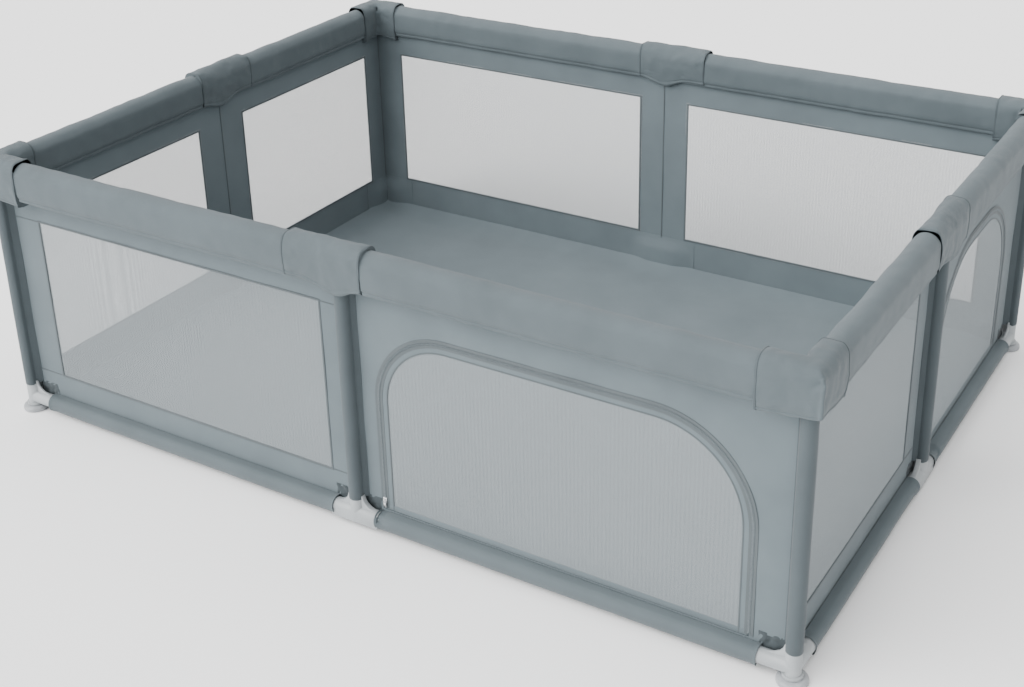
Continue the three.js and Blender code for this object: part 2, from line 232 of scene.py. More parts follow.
def tint(nodes, links, value, dark, light):
    """Colours the material between two tones."""
    ramp = nodes.new("ShaderNodeValToRGB")
    ramp.color_ramp.elements[0].color = (*dark, 1)
    ramp.color_ramp.elements[1].color = (*light, 1)
    links.new(value, ramp.inputs[0])
    links.new(ramp.outputs[0], nodes["Principled BSDF"].inputs["Base Color"])


def emboss(nodes, links, height, strength, distance):
    """Raises the surface a little by that height."""
    raised = node(nodes, "ShaderNodeBump", Strength=strength, Distance=distance)
    links.new(height, raised.inputs["Height"])
    links.new(raised.outputs[0], nodes["Principled BSDF"].inputs["Normal"])


STITCH_HALF, STITCH_PITCH = 0.0006, 0.0038  # half the width of a sewn line, and one stitch


def woven(name, dark, light, pitch=0.0016, bump=0.35, stitches=None):
    """Plain weave: crossing threads, a little uneven in tone, with a soft sheen. Stitches gives the height of a
    sewn line."""
    material, nodes, links = nodes_of(name)
    shader = nodes["Principled BSDF"]
    shader.inputs["Roughness"].default_value = 0.82
    shader.inputs["Sheen Weight"].default_value = 0.12
    shader.inputs["Sheen Roughness"].default_value = 0.45
    shader.inputs["Specular IOR Level"].default_value = 0.3
    place = nodes.new("ShaderNodeTexCoord").outputs["Object"]
    split = nodes.new("ShaderNodeSeparateXYZ")
    links.new(place, split.inputs[0])
    across = math_node(nodes, links, "ADD", split.outputs["X"], split.outputs["Y"])
    slant = math_node(nodes, links, "SUBTRACT", split.outputs["Y"], split.outputs["X"])
    up = math_node(nodes, links, "ADD", split.outputs["Z"], slant)
    warp, weft = wave(nodes, links, across, pitch), wave(nodes, links, up, pitch)
    weave = math_node(nodes, links, "MULTIPLY", warp, weft)
    patches = math_node(nodes, links, "SUBTRACT", noise(nodes, links, place, 7.0, 3.0, 0.55), 0.5)
    fibres = math_node(nodes, links, "SUBTRACT", noise(nodes, links, place, 900.0, 2.0), 0.5)
    tone = math_node(nodes, links, "MULTIPLY_ADD", weave, 0.10, 0.5)
    tone = math_node(nodes, links, "MULTIPLY_ADD", patches, 0.9, tone)
    tone = math_node(nodes, links, "MULTIPLY_ADD", fibres, 0.35, tone)
    height = weave
    if stitches:
        # The sewn line is painted darker as painted shade in its pressed crease, with lighter thread stitches
        # over it.
        on_line = math_node(nodes, links, "COMPARE", split.outputs["Z"], stitches, STITCH_HALF)
        thread = math_node(nodes, links, "GREATER_THAN", wave(nodes, links, across, STITCH_PITCH), -0.55)
        sewn = math_node(nodes, links, "MULTIPLY", on_line, thread)
        tone = math_node(nodes, links, "MULTIPLY_ADD", on_line, -0.55, tone)
        tone = math_node(nodes, links, "MULTIPLY_ADD", sewn, 0.75, tone)
        height = math_node(nodes, links, "MULTIPLY_ADD", sewn, 2.0, weave)
    tint(nodes, links, tone, dark, light)
    emboss(nodes, links, height, bump, 0.0003)
    return material


def dress(piece, material, body="frame"):
    """Gives the piece its only material, soft shading and its body."""
    piece.data.materials.clear()
    piece.data.materials.append(material)
    only(piece)
    bpy.ops.object.shade_smooth_by_angle(angle=math.radians(40))
    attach(piece, body)
    return piece


cloth = woven("grey plain weave", (0.086, 0.108, 0.119), (0.133, 0.166, 0.181))
# A darker copy of the same cloth, for the post sleeves, the seams beside them and the tapes at the caps' ends:
# painted shade.
painted_shade_cloth = woven("grey plain weave, painted shade", (0.047, 0.060, 0.067), (0.074, 0.093, 0.102))

for side in SIDES:
    half = side["half"]
    plane = -side["depth"] + WALL_IN
    flat = (2 * (half - WALL_END), WALL_TOP - WALL_LOW)
    wall = cut_cloth("wall_cloth_" + side["name"], flat, (0, plane, (WALL_LOW + WALL_TOP) / 2), 0.018)
    ripple(wall, 0.11, 0.0022)
    modify(wall, "SOLIDIFY", thickness=CLOTH, offset=0)
    through = (plane - CUT_DEEP, plane + CUT_DEEP)
    tools = [block("window_tool", (a, through[0], WINDOW_LOW), (b, through[1], WINDOW_TOP))
             for a, b in window_spans(side)]
    for middle, cut in ((-half, CORNER_CUT), (0, MIDDLE_CUT), (half, CORNER_CUT)):
        for reach, top in ((cut, CUT_STEP), (cut - BAND_OVER, CUT_TOP)):
            tools.append(block("foot_tool", (middle - reach, through[0], -0.01),
                               (middle + reach, through[1], top)))
    if side["radii"]:
        left, right = door_span(side["name"])
        radii = [r + ZIP_GAP for r in side["radii"]]
        tools.append(arch("door_tool", left - ZIP_GAP, right + ZIP_GAP, FLAP_LOW - FOLD_GAP, FLAP_TOP + ZIP_GAP,
                          radii, *through))
    cut_away(wall, *tools)
    turned(wall, side)
    dress(wall, cloth)
    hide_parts("wall_" + side["name"])

# ---- Mesh windows
# Fine warp-knit polyester net, sewn behind the edge of each opening with a narrow folded binding. It is pale
# and see-through, with faint upright ribs. A sewn line runs on from each corner of the binding to the posts.
SEAM = 0.0035
SEAM_FOLD = 0.0012  # how far the binding folds in over the opening
NET_SEWN = 0.006  # how far the net runs on under the cloth
NET_ACROSS, NET_UP, NET_RIBS = 0.0015, 0.0019, 0.0085  # pitch of the holes each way, and of the ribs
SLEEVE_SEAM = 0.0200  # post axis to the seam beside its sleeve
LINE_HALF = 0.0011  # half the height of a sewn line


def netting(name, tone):
    """Net with fine see-through holes and faint upright ribs."""
    material, nodes, links = nodes_of(name)
    shader = nodes["Principled BSDF"]
    shader.inputs["Roughness"].default_value = 0.75
    shader.inputs["Sheen Weight"].default_value = 0.15
    shader.inputs["Specular IOR Level"].default_value = 0.25
    place = nodes.new("ShaderNodeTexCoord").outputs["Object"]
    split = nodes.new("ShaderNodeSeparateXYZ")
    links.new(place, split.inputs[0])
    across = math_node(nodes, links, "ADD", split.outputs["X"], split.outputs["Y"])
    holes = math_node(nodes, links, "MULTIPLY", wave(nodes, links, across, NET_ACROSS),
                      wave(nodes, links, split.outputs["Z"], NET_UP))
    holes = math_node(nodes, links, "ABSOLUTE", holes)
    ribs = wave(nodes, links, across, NET_RIBS)
    cover = math_node(nodes, links, "MULTIPLY_ADD", holes, -0.90, 0.985)
    cover = math_node(nodes, links, "MULTIPLY_ADD", ribs, 0.035, cover)
    links.new(cover, shader.inputs["Alpha"])
    tint(nodes, links, math_node(nodes, links, "MULTIPLY_ADD", ribs, 0.5, 0.5), [t * 0.97 for t in tone], tone)
    return material


def join_on(piece, *others):
    """Makes the others part of the piece."""
    for other in others:
        modify(piece, "BOOLEAN", operation="UNION", object=other, solver="EXACT")
        bpy.data.objects.remove(other)


def near_edge(a, b):
    """Where a sewn line meets the binding on the side of the middle post, as a distance from that post."""
    return min(abs(a), abs(b)) - SEAM + 0.001


def far_edge(a, b):
    """The same on the side of the corner post."""
    return max(abs(a), abs(b)) + SEAM - 0.001


net = netting("pale warp-knit net", (0.238, 0.265, 0.278))
binding = woven("dark folded binding", (0.060, 0.073, 0.079), (0.098, 0.116, 0.124), pitch=0.0012)

for side in SIDES:
    plane = -side["depth"] + WALL_IN
    post_near, post_far = SLEEVE_SEAM, side["half"] - SLEEVE_SEAM
    for number, (a, b) in enumerate(window_spans(side)):
        tag = "%s_%d" % (side["name"], number + 1)
        size = (b - a + 2 * NET_SEWN, WINDOW_TOP - WINDOW_LOW + 2 * NET_SEWN)
        centre = ((a + b) / 2, plane + 0.0006, (WINDOW_LOW + WINDOW_TOP) / 2)
        panel = cut_cloth("window_net_" + tag, size, centre, 0.03)
        ripple(panel, 0.16, 0.0012)
        turned(panel, side)
        dress(panel, net)
        seam = block("window_binding_" + tag, (a - SEAM, plane - 0.0016, WINDOW_LOW - SEAM),
                     (b + SEAM, plane + 0.0020, WINDOW_TOP + SEAM))
        cut_away(seam, block("inside", (a + SEAM_FOLD, plane - 1, WINDOW_LOW + SEAM_FOLD),
                             (b - SEAM_FOLD, plane + 1, WINDOW_TOP - SEAM_FOLD)))
        modify(seam, "BEVEL", width=0.0006, segments=2, limit_method="ANGLE")
        for height in (WINDOW_LOW, WINDOW_TOP):
            for low, high in ((post_near, near_edge(a, b)), (far_edge(a, b), post_far)):
                low, high = (low, high) if a > 0 else (-high, -low)
                join_on(seam, block("stitch", (low, plane - 0.0015, height - LINE_HALF),
                                    (high, plane - 0.0002, height + LINE_HALF)))
        turned(seam, side)
        dress(seam, binding)

# ---- Sleeves round the posts and the bottom tubes
# The same cloth, sewn into round pockets, and coloured darker than the wall as painted shade. The post sleeves
# stand proud of the wall outside, and each ends in a turned hem above its foot. The tube sleeves run from a
# fold on the wall over the tubes to a hem near the ground, and end beside the feet.
SLEEVE_R = 0.0165
SLEEVE_FLAT = 0.0138  # sewn flat against the wall
SLEEVE_LOW, SLEEVE_TOP = 0.068, 0.586
SLEEVE_HEM = 0.0015
SLEEVE_CLOTH = 0.0009
RAIL_HEM = 0.563
WING_OUT, WING_IN = 0.0030, 0.0085  # the cloth beside a sleeve, past its seam and back under the sleeve
WING_DEEP = 0.0165  # how far it stands off the wall under the sleeve
WING_SLOPE = 0.0152  # how much closer it comes at the seam


def sleeve(name, radius, length, where, along_x):
    """An open round sleeve."""
    bpy.ops.object.select_all(action="DESELECT")
    bpy.ops.mesh.primitive_cylinder_add(
        vertices=32, radius=radius, depth=length, end_fill_type="NOTHING", location=where,
        rotation=(0, math.pi / 2, 0) if along_x else (0, 0, 0))
    piece = bpy.context.object
    piece.name = name
    return settle(piece)


def twin(model, name):
    """A copy with a mesh of its own."""
    piece = model.copy()
    piece.data = model.data.copy()
    piece.name = name
    bpy.context.collection.objects.link(piece)
    return piece


def slice_at(piece, at, direction, **settings):
    """Cuts the whole skin along a plane."""
    pick(piece, "FACE")
    bpy.ops.mesh.bisect(plane_co=at, plane_no=direction, **settings)
    done()


def ring_cuts(piece, direction, low, high, step):
    """Crosses a long sleeve with evenly spaced rows of edges."""
    count = max(2, round((high - low) / step))
    for i in range(1, count):
        at = low + (high - low) * i / count
        slice_at(piece, [at * d for d in direction], direction)


def sewn_edge(name, x, side, toward):
    """The cloth between a sleeve and its seam down the wall, darker as painted shade. Toward is 1 to the right,
    -1 to the left.
    """
    plane = -side["depth"] + WALL_IN
    low_z, high_z = CUT_TOP + 0.001, RAIL_HEM + 0.01
    outer, inner = x + WING_OUT * toward, x - WING_IN * toward
    low, high = sorted((outer, inner))
    piece = block(name, (low, plane - WING_DEEP, low_z), (high, plane - 0.0002, high_z))
    pick(piece, "VERT", lambda p: abs(p.x - outer) < NEAR and p.y < plane - WING_DEEP / 2)
    bpy.ops.transform.translate(value=(0, WING_SLOPE, 0))
    done()
    join_on(piece, block("stitch", (outer - 0.0008, plane - 0.0018, low_z),
                         (outer + 0.0008, plane - 0.0002, high_z)))
    turned(piece, side)
    return dress(piece, painted_shade_cloth)


corner_sleeve = sleeve(
    "corner_sleeve", SLEEVE_R, SLEEVE_TOP - SLEEVE_LOW, (0, 0, (SLEEVE_LOW + SLEEVE_TOP) / 2), False)
ring_cuts(corner_sleeve, (0, 0, 1), SLEEVE_LOW, SLEEVE_TOP, 0.026)
pick(corner_sleeve, "VERT", lambda p: p.z < SLEEVE_LOW + 0.001)
bpy.ops.mesh.extrude_region_move(TRANSFORM_OT_translate={"value": (0, 0, -SLEEVE_HEM)})
bpy.ops.transform.resize(value=(0.94, 0.94, 1))
done()
ripple(corner_sleeve, 0.06, 0.0012)
middle_sleeve = twin(corner_sleeve, "middle_sleeve")
for model in (corner_sleeve, middle_sleeve):
    pick(model, "VERT", lambda p: p.y > SLEEVE_FLAT)
    bpy.ops.transform.resize(value=(1, 0, 1), center_override=(0, SLEEVE_FLAT, 0))
    done()
pick(corner_sleeve, "VERT", lambda p: p.x < -SLEEVE_FLAT)
bpy.ops.transform.resize(value=(0, 1, 1), center_override=(-SLEEVE_FLAT, 0, 0))
done()
for model in (corner_sleeve, middle_sleeve):
    modify(model, "SOLIDIFY", thickness=SLEEVE_CLOTH, offset=-1)
for side in SIDES:
    name = side["name"]
    for kind, model, x, post in (("corner", corner_sleeve, side["half"], side["corner"]),
                                 ("middle", middle_sleeve, 0, name + "_middle")):
        piece = twin(model, "%s_post_sleeve_%s" % (kind, name))
        piece.location = (x, -side["depth"], 0)
        settle(piece)
        turned(piece, side)
        dress(piece, painted_shade_cloth)
        for at in (x - SLEEVE_SEAM,) if kind == "corner" else (-SLEEVE_SEAM, SLEEVE_SEAM):
            toward = 1 if at > x else -1
            sewn_edge("%s_post_seam_%s_%d" % (kind, name, at > x), at, side, toward)
        if kind == "middle":
            sewn_edge("start_post_seam_" + name, SLEEVE_SEAM - side["half"], side, 1)
for model in (corner_sleeve, middle_sleeve):
    bpy.data.objects.remove(model)

BAND_R = 0.0150
BAND_END_R = 0.0182  # over the flange of a foot's arm
BAND_LOW, BAND_FOLD = 0.0150, 0.0478  # the hem, and the fold where the sleeve meets the wall
BAND_IN = 0.0115  # tube axis to the wall's side of the sleeve
BAND_FLARE = 0.010  # length over which the end widens
DENT_R, DENT_FOLD, DENT_SPARE = 0.0117, 0.0450, 0.0025  # tight on the tube, under a folded zip slider
# The tube sleeves' cloth is darker than the wall's: painted shade on their downward-facing faces.
band_cloth = woven("grey plain weave, sleeve", (0.065, 0.082, 0.090), (0.103, 0.128, 0.139))


def band_point(angle, radius, fold_z):
    """Where the sleeve runs, by angle round the tube from straight outwards: (outwards, upwards)."""
    fold = (-BAND_IN, fold_z - TUBE_Z)
    fold_angle = math.atan2(fold[1], fold[0])
    tangent = fold_angle - math.acos(radius / math.hypot(*fold))
    touch = (radius * math.cos(tangent), radius * math.sin(tangent))
    if angle < 0:  # hangs from the tube to the hem, and runs back to the wall
        down = -angle / (math.pi / 2)
        if down > 1:
            up = min(1.0, down - 1)
            return (radius * 0.70 * (1 - up) - BAND_IN * up, (BAND_LOW - TUBE_Z) * (1 - up))
        return (radius * (1 - 0.30 * down * down), down * (BAND_LOW - TUBE_Z))
    if angle < tangent:
        return (radius * math.cos(angle), radius * math.sin(angle))
    if angle < fold_angle:  # straight up to the fold
        t = (angle - tangent) / (fold_angle - tangent)
        return tuple(p + (q - p) * t for p, q in zip(touch, fold))
    t = min(1.0, (angle - fold_angle) / (math.pi - fold_angle))
    return (-BAND_IN, fold[1] * (1 - t))


for side in SIDES:
    start, finish = MIDDLE_CUT - BAND_OVER, side["half"] - CORNER_CUT + BAND_OVER
    for tag, ends in (("left", (-finish, -start)), ("right", (start, finish))):
        length = ends[1] - ends[0]
        band = sleeve("tube_sleeve_%s_%s" % (side["name"], tag), BAND_R, length,
                      (sum(ends) / 2, -side["depth"], TUBE_Z), True)
        ring_cuts(band, (1, 0, 0), ends[0] + 0.02, ends[1] - 0.02, 0.03)
        dent = (0, 0)
        cuts = [ends[0] + 0.006, ends[0] + 0.012, ends[1] - 0.012, ends[1] - 0.006]
        if side["radii"] and tag == "right":  # pressed flat where the slider comes down on it
            low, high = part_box("zip_slider_" + side["name"])
            dent = (low.x, high.x) if side["name"] == "front" else (low.y, high.y)
            dent = (dent[0] - DENT_SPARE, dent[1] + DENT_SPARE)
            cuts += [dent[0], dent[1], dent[1] + 0.004]
        for at in cuts:
            slice_at(band, (at, 0, 0), (1, 0, 0))
        for point in band.data.vertices:
            outward, up = -side["depth"] - point.co.y, point.co.z - TUBE_Z
            angle = math.atan2(up, outward)
            inset = min(point.co.x - ends[0], ends[1] - point.co.x)
            radius = BAND_R + (BAND_END_R - BAND_R) * max(0.0, 1 - inset / BAND_FLARE)
            outward, up = band_point(angle, radius, BAND_FOLD)
            point.co.y, point.co.z = -side["depth"] - outward, TUBE_Z + up
        angles = [math.atan2(p.co.z - TUBE_Z, -side["depth"] - p.co.y) for p in band.data.vertices]
        ripple(band, 0.05, 0.0014)
        for point, angle in zip(band.data.vertices, angles):
            if dent[0] - NEAR < point.co.x < dent[1] + NEAR and angle > 0:
                outward, up = band_point(angle, DENT_R, DENT_FOLD)
                point.co.y, point.co.z = -side["depth"] - outward, TUBE_Z + up
        modify(band, "SOLIDIFY", thickness=SLEEVE_CLOTH, offset=1)
        turned(band, side)
        dress(band, band_cloth)

# ---- Linings behind the feet and the seams inside
# Patches of the wall's cloth inside each cut-out, which keep a child's fingers off the feet, with a loose edge
# bunched up in the cut-out in painted shade, and a folded seam up the middle of each wall and in each corner.
LINING_TOP, LINING_LOW, LINING_OUT = 0.101, 0.006, 0.0080
LINING_RISE = 0.042  # height over which it leaves the wall
LINING_ON = 0.0012  # from the middle of the wall to a lining that lies on it
LINING_SLOPE, LINING_SHORT = 0.070, 0.016  # how gently it comes back to the wall, and beside a door
LINING_EDGE = 0.040  # how far past the cut-out a patch reaches to lie flat again
CRUMPLE = (0.040, 0.074)  # height of the bunched edge
CRUMPLE_START = 0.018  # from the corner post's axis
SEAM_HALF, SEAM_LOW = 0.0016, 0.020


def eased(share):
    """Runs smoothly from 0 to 1."""
    return share * share * (3 - 2 * share)


def lining(name, corner, reaches, full):
    """A patch that stands off the wall over the foot, from -reaches[0] to reaches[1]. In a corner it bends
    round from wall to wall."""
    centre = ((reaches[1] - reaches[0]) / 2, 0, (LINING_TOP + LINING_LOW) / 2)
    piece = cut_cloth(name, (sum(reaches), LINING_TOP - LINING_LOW), centre, 0.006)
    for point in piece.data.vertices:
        along, z = point.co.x, point.co.z
        rise = min(1.0, max(0.0, (LINING_TOP - z) / LINING_RISE))
        reach = reaches[0] if along < 0 else reaches[1]
        edge = min(1.0, max(0.0, (reach - abs(along)) / (LINING_SLOPE if reach == full else LINING_SHORT)))
        inward = WALL_IN + LINING_ON + LINING_OUT * eased(rise) * eased(edge)
        if corner:
            run = max(abs(along), inward)
            point.co.x, point.co.y = (-run, inward) if along < 0 else (-inward, run)
        else:
            point.co.y = inward
    if corner:
        ripple(piece, 0.03, 0.0010)
    modify(piece, "SOLIDIFY", thickness=0.0008, offset=0)
    return piece


# Painted shade: the lining's bunched edge sits in the shade of the cut-out and is coloured that dark.
shade_cloth = woven("lining in painted shade", (0.030, 0.039, 0.043), (0.062, 0.077, 0.084))


def crumple(name, low, high, side):
    """The loose edge of the lining, bunched up behind a cut-out above the foot's arm, in painted shade."""
    y = -side["depth"] + WALL_IN - 0.0004
    size = (high - low, CRUMPLE[1] - CRUMPLE[0])
    piece = cut_cloth(name, size, ((low + high) / 2, y, sum(CRUMPLE) / 2), 0.0035)
    ripple(piece, 0.011, 0.0065)
    modify(piece, "SOLIDIFY", thickness=0.0007, offset=0)
    turned(piece, side)
    return dress(piece, shade_cloth)


for side in SIDES:
    name = side["name"]
    for kind, x, cut in (("corner", side["half"], CORNER_CUT), ("middle", 0, MIDDLE_CUT)):
        full = cut + LINING_EDGE
        reaches = [full, full]
        if side["radii"]:  # the patch stops short of the door opening
            left, right = door_span(name)
            if kind == "corner":
                reaches[0] = min(full, side["half"] - right - 2 * ZIP_GAP)
            else:
                reaches[1] = min(full, left - 2 * ZIP_GAP)
        patch = lining("%s_lining_%s" % (kind, name), kind == "corner", reaches, full)
        patch.location = (x, -side["depth"], 0)
        settle(patch)
        seam = block("%s_inside_seam_%s" % (kind, name), (-SEAM_HALF, WALL_IN + 0.0006, SEAM_LOW),
                     (SEAM_HALF, WALL_IN + 0.0020, WALL_TOP - 0.005))
        modify(seam, "BEVEL", width=0.0005, segments=2)
        seam.location = (x - (WALL_IN + LINING_ON if kind == "corner" else 0), -side["depth"], 0)
        settle(seam)
        for piece, material in ((patch, cloth), (seam, binding)):
            turned(piece, side)
            dress(piece, material)
        if kind == "corner":
            bunched = [crumple("corner_crumple_" + name, x - cut, x - CRUMPLE_START, side),
                       crumple("start_crumple_" + name, CRUMPLE_START - x, cut - x, side)]
        else:
            bunched = [crumple("middle_crumple_" + name, -cut, cut, side)]

# ---- Padded rails
# Foam tube over the top tubes inside a cloth sleeve, which closes under the foam and hangs flat down both
# sides of the wall to a sewn hem. The foam makes it round on top and the cloth puckers a little.
RAIL_HALF, RAIL_TOP, RAIL_ROUND = 0.0245, 0.6535, 0.0235
RAIL_START = 0.03  # from the corner post's axis to the rail's end, inside the corner cap
RAIL_STITCH = 0.0095  # from the hem up to the line of stitches
STITCH_DEEP, STITCH_REACH = 0.0011, 0.0017  # how deep the stitches press in, and how far up and down
CORNER_REACH = 0.090  # a corner cap, along each side
MIDDLE_ENDS = (-0.121, 0.0695)  # a middle cap, from the post
# Its tones are darker than the wall's cloth: painted shade. Its line of stitches is painted darker too, as
# painted shade in the pressed crease.
rail_cloth = woven("grey plain weave over foam", (0.063, 0.080, 0.088), (0.100, 0.125, 0.137), bump=0.4,
                   stitches=RAIL_HEM + RAIL_STITCH)


def bolster(name, ends, half_width, low, top, roundness):
    """A long pad with a round back, drawn along the front."""
    piece = block(name, (ends[0], -half_width, low), (ends[1], half_width, top))
    pick(piece, "EDGE", lambda p: p.z > top - 1e-5)
    bpy.ops.mesh.bevel(offset=roundness, segments=6, affect="EDGES")
    done()
    return piece


def swell(piece, voxel, cap):
    """Fills the pad: a cloth skin under a little pressure, which puckers it between its ends. No point moves
    further than the cap."""
    modify(piece, "REMESH", mode="VOXEL", voxel_size=voxel)
    start = [p.co.copy() for p in piece.data.vertices]
    only(piece)
    cloth_skin = piece.modifiers.new("Cloth", "CLOTH")
    cloth_skin.settings.use_pressure = True
    cloth_skin.settings.uniform_pressure_force = 4.0
    cloth_skin.settings.quality = 4
    cloth_skin.settings.tension_stiffness = 30
    cloth_skin.settings.compression_stiffness = 30
    cloth_skin.settings.bending_stiffness = 1.5
    cloth_skin.settings.effector_weights.gravity = 0
    hem = piece.vertex_groups.new(name="hem")
    low = min(p.z for p in start)
    hem.add([i for i, p in enumerate(start) if p.z < low + 0.012], 1.0, "REPLACE")
    cloth_skin.settings.vertex_group_mass = "hem"
    for step in range(1, 21):
        bpy.context.scene.frame_set(step)
    bpy.ops.object.modifier_apply(modifier="Cloth")
    bpy.context.scene.frame_set(1)
    for point, was in zip(piece.data.vertices, start):
        moved = point.co - was
        if moved.length > cap:
            point.co = was + moved * (cap / moved.length)
    piece.vertex_groups.clear()


def groove(piece, height):
    """Presses the line of stitches above a hem into the padding."""
    normals = [p.normal.copy() for p in piece.data.vertices]
    for point, normal in zip(piece.data.vertices, normals):
        if abs(point.co.z - height) < STITCH_REACH:
            point.co -= normal * STITCH_DEEP


SLIT = (0.0050, 0.012, 0.036)  # width, depth and height of the gap left at a cap's seam
SLIT_TIP = 0.25  # its width at the top, as a share


def slit_tool(x, y_face, low, along_y=False):
    """A wedge, wide at the hem, that opens the seam between a cap and the rail beside it."""
    wide, deep, tall = SLIT
    start, end = (x - wide / 2, y_face - deep), (x + wide / 2, y_face + deep)
    if along_y:
        start, end = start[::-1], end[::-1]
    tool = block("slit_tool", (*start, low - 0.02), (*end, low + tall))
    pick(tool, "VERT", lambda p: p.z > low)
    bpy.ops.transform.resize(value=(1, SLIT_TIP, 1) if along_y else (SLIT_TIP, 1, 1))
    done()
    return tool


for model_half, names in ((HALF_X, ("front", "back")), (HALF_Y, ("right", "left"))):
    ends = (-model_half + RAIL_START, model_half - RAIL_START)
    rail = bolster("rail_model", ends, RAIL_HALF, RAIL_HEM, RAIL_TOP, RAIL_ROUND)
    swell(rail, 0.006, 0.004)
    ripple(rail, 0.035, 0.0030)
    ripple(rail, 0.16, 0.0035)
    modify(rail, "SMOOTH", factor=0.5, iterations=4)
    modify(rail, "SUBSURF", levels=1, render_levels=1)
    groove(rail, RAIL_HEM + RAIL_STITCH)
    for x in (MIDDLE_ENDS[1], CORNER_REACH - model_half):
        cut_away(rail, slit_tool(x, -RAIL_HALF, RAIL_HEM))
    for name in names:
        side = next(s for s in SIDES if s["name"] == name)
        piece = twin(rail, "rail_sleeve_" + name)
        piece.location = (0, -side["depth"], 0)
        settle(piece)
        turned(piece, side)
        dress(piece, rail_cloth)
        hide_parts("rail_pad_" + name)
    bpy.data.objects.remove(rail)

# ---- Corner and middle caps
# Separate cloth hoods over the rails' joints, a little larger than the rails and longer in the skirt. Each
# is closed along one seam, and its hem dips towards the post.
CAP_HALF, CAP_TOP = 0.0280, 0.6565
CORNER_ROUND, MIDDLE_ROUND = 0.020, 0.022
CORNER_LOW, CORNER_RISE = 0.550, 0.009
MIDDLE_EDGE, MIDDLE_DIP = 0.568, 0.547
CAP_SPARE = 0.010  # cut off again, which leaves the ends square
CAP_STITCH = 0.0085  # from the hem up to the line of stitches
SKIRT = 0.60  # below this height a cap hangs free
DIP_WIDTH = 0.045
NOTCH = (0.003, 0.004, 0.632, 0.67)  # in the corner cap's inner angle: how far in and out, from and to a height
BOUND = 0.0036  # width of the tape round a cap's end
TAPE_WIDER, TAPE_TALLER = 1.03, 1.015  # how much larger the tape is than the cap
SLICE_HALF, SLICE_LOW, SLICE_TOP = 0.05, 0.5, 0.7  # the cutting box for a tape, larger than any cap


def hood_skin(piece, cap):
    """Fills a cap and lets its cloth pucker."""
    swell(piece, 0.0045, cap)
    ripple(piece, 0.028, 0.0050)
    modify(piece, "SMOOTH", factor=0.5, iterations=2)
    modify(piece, "SUBSURF", levels=1, render_levels=1)


def trim(piece, at, direction):
    """Cuts the padding off square at a plane, beyond which it is cleared."""
    slice_at(piece, at, direction, clear_outer=True, use_fill=True)


ends = (-CORNER_REACH - CAP_SPARE, CAP_HALF)
corner = bolster("corner_model", ends, CAP_HALF, CORNER_LOW, CAP_TOP, CORNER_ROUND)
other = bolster("corner_arm", ends, CAP_HALF, CORNER_LOW, CAP_TOP, CORNER_ROUND)
other.rotation_euler.z = -math.pi / 2
settle(other)
join_on(corner, other)
pick(corner, "EDGE", lambda p: p.x > CAP_HALF - 0.0005 and p.y < -CAP_HALF + 0.0005)
bpy.ops.mesh.bevel(offset=0.010, segments=4, affect="EDGES")
done()
hood_skin(corner, 0.003)
groove(corner, CORNER_LOW + CAP_STITCH)
for point in corner.data.vertices:  # the hem rises a little towards the corner
    if point.co.z < SKIRT:
        rise = CORNER_RISE * max(0.0, 1 - max(-point.co.x, point.co.y) / CORNER_REACH)
        point.co.z += rise * (SKIRT - point.co.z) / (SKIRT - CORNER_LOW)
trim(corner, (-CORNER_REACH, 0, 0), (-1, 0, 0))
trim(corner, (0, CORNER_REACH, 0), (0, 1, 0))

ends = (MIDDLE_ENDS[0] - CAP_SPARE, MIDDLE_ENDS[1] + CAP_SPARE)
middle = bolster("middle_model", ends, CAP_HALF, MIDDLE_EDGE, CAP_TOP, MIDDLE_ROUND)
hood_skin(middle, 0.003)
groove(middle, MIDDLE_EDGE + CAP_STITCH)
for point in middle.data.vertices:  # the hem dips at the post
    if point.co.z < SKIRT:
        dip = (MIDDLE_EDGE - MIDDLE_DIP) * math.exp(-((point.co.x / DIP_WIDTH) ** 2))
        point.co.z -= dip * (SKIRT - point.co.z) / (SKIRT - MIDDLE_EDGE)
trim(middle, (MIDDLE_ENDS[0], 0, 0), (-1, 0, 0))
trim(middle, (MIDDLE_ENDS[1], 0, 0), (1, 0, 0))
cut_away(corner, slit_tool(CORNER_REACH, CAP_HALF, CORNER_LOW, along_y=True))
notch_in, notch_out, notch_low, notch_top = NOTCH
cut_away(corner, block("notch", (-CAP_HALF - notch_out, CAP_HALF - notch_in, notch_low),
                       (-CAP_HALF + notch_in, CAP_HALF + notch_out, notch_top)))
cut_away(middle, slit_tool(MIDDLE_ENDS[1], -CAP_HALF, MIDDLE_EDGE))


def bound_end(model, low, high, grow):
    """The tape folded round a cap's open end, darkened as painted shade: a slice of the cap, a little proud of
    it.
    """
    low, high = (*low, SLICE_LOW), (*high, SLICE_TOP)
    slice_of = twin(model, model.name + "_tape")
    modify(slice_of, "BOOLEAN", operation="INTERSECT", object=block("slice", low, high), solver="EXACT")
    bpy.data.objects.remove(bpy.data.objects["slice"])
    centre = [(a + b) / 2 for a, b in zip(low, high)]
    pick(slice_of, "VERT")
    bpy.ops.transform.resize(value=(*grow, TAPE_TALLER), center_override=(centre[0], centre[1], SKIRT))
    done()
    return slice_of


